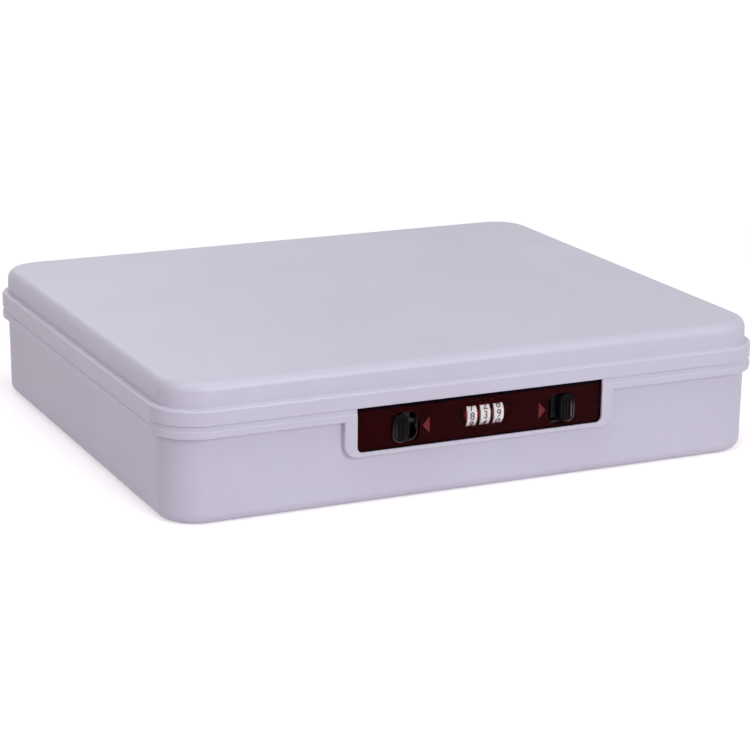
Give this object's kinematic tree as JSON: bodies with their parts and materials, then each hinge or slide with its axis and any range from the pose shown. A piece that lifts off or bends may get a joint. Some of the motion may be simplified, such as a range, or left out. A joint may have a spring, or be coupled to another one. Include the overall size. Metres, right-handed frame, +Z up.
{
  "type": "medication lock box",
  "caption": "Shallow moulded medication box with a hinged lid, a smoked front window, number wheels and two slide latches.",
  "frame": {"origin": "under the middle of the whole box, on the surface it stands on", "axes": "+X along the long side, towards the right latch; +Y from the lock window to the hinge; +Z up through the lid"},
  "size_m": [0.32, 0.28, 0.0682],
  "materials": {
    "case": "fine satin moulded plastic, pale grey-lilac",
    "smoked_window": "polished dark red smoked acrylic",
    "dark_plastic": "dark moulded plastic",
    "button_black": "semi-gloss black plastic",
    "wheel_white": "white moulded plastic with grey numbers",
    "sleeve_brass": "turned brass",
    "latch_steel": "zinc plated steel",
    "spring_steel": "spring steel",
    "screw_steel": "bright zinc plated steel",
    "pin_steel": "drawn steel"
  },
  "bodies": {
    "base": {"base_tray": "case", "window_lens": "smoked_window", "lock_chassis": "dark_plastic", "lock_cover": "dark_plastic", "chassis_screw_1": "screw_steel", "chassis_screw_2": "screw_steel", "chassis_screw_3": "screw_steel", "chassis_screw_4": "screw_steel", "sleeve_spring": "spring_steel", "dial_detent": "spring_steel", "latch_detent_left": "spring_steel", "latch_detent_right": "spring_steel", "hinge_pin_left": "pin_steel", "hinge_pin_right": "pin_steel"},
    "lid": {"lid_shell": "case", "strike_left": "latch_steel", "strike_right": "latch_steel", "strike_screw_1": "screw_steel", "strike_screw_2": "screw_steel", "strike_screw_3": "screw_steel", "strike_screw_4": "screw_steel"},
    "left_latch": {"latch_slide_left": "latch_steel", "latch_button_left": "button_black"},
    "right_latch": {"latch_slide_right": "latch_steel", "latch_button_right": "button_black"},
    "dial_1": {"number_wheel_1": "wheel_white"},
    "dial_2": {"number_wheel_2": "wheel_white"},
    "dial_3": {"number_wheel_3": "wheel_white"},
    "reset": {"reset_lever": "latch_steel"},
    "sleeve_1": {"code_sleeve_1": "sleeve_brass"},
    "sleeve_2": {"code_sleeve_2": "sleeve_brass"},
    "sleeve_3": {"code_sleeve_3": "sleeve_brass"}
  },
  "joints": [
    {"name": "lid_hinge", "type": "hinge", "parent": "base", "child": "lid", "pos_m": [0, 0.13605, 0.0486], "axis": [-1, 0, 0], "range_deg": [0, 105]},
    {"name": "left_latch_slide", "type": "slide", "parent": "base", "child": "left_latch", "axis": [1, 0, 0], "range_m": [0, 0.0055]},
    {"name": "right_latch_slide", "type": "slide", "parent": "base", "child": "right_latch", "axis": [-1, 0, 0], "range_m": [0, 0.0055]},
    {"name": "dial_1_turn", "type": "hinge", "parent": "base", "child": "dial_1", "pos_m": [-0.0052, -0.1324, 0.0375], "axis": [1, 0, 0], "continuous": true},
    {"name": "dial_2_turn", "type": "hinge", "parent": "base", "child": "dial_2", "pos_m": [0.0019, -0.1324, 0.0375], "axis": [1, 0, 0], "continuous": true},
    {"name": "dial_3_turn", "type": "hinge", "parent": "base", "child": "dial_3", "pos_m": [0.009, -0.1324, 0.0375], "axis": [1, 0, 0], "continuous": true},
    {"name": "reset_slide", "type": "slide", "parent": "base", "child": "reset", "axis": [1, 0, 0], "range_m": [0, 0.0009], "stiffness_N_per_m": 200},
    {"name": "sleeve_1_slide", "type": "slide", "parent": "dial_1", "child": "sleeve_1", "axis": [1, 0, 0], "range_m": [0, 0.0009]},
    {"name": "sleeve_2_slide", "type": "slide", "parent": "dial_2", "child": "sleeve_2", "axis": [1, 0, 0], "range_m": [0, 0.0009]},
    {"name": "sleeve_3_slide", "type": "slide", "parent": "dial_3", "child": "sleeve_3", "axis": [1, 0, 0], "range_m": [0, 0.0009]}
  ],
  "couplings": [
    {"joint": "sleeve_1_slide", "follows": "reset_slide", "ratio": 1},
    {"joint": "sleeve_2_slide", "follows": "reset_slide", "ratio": 1},
    {"joint": "sleeve_3_slide", "follows": "reset_slide", "ratio": 1}
  ]
}
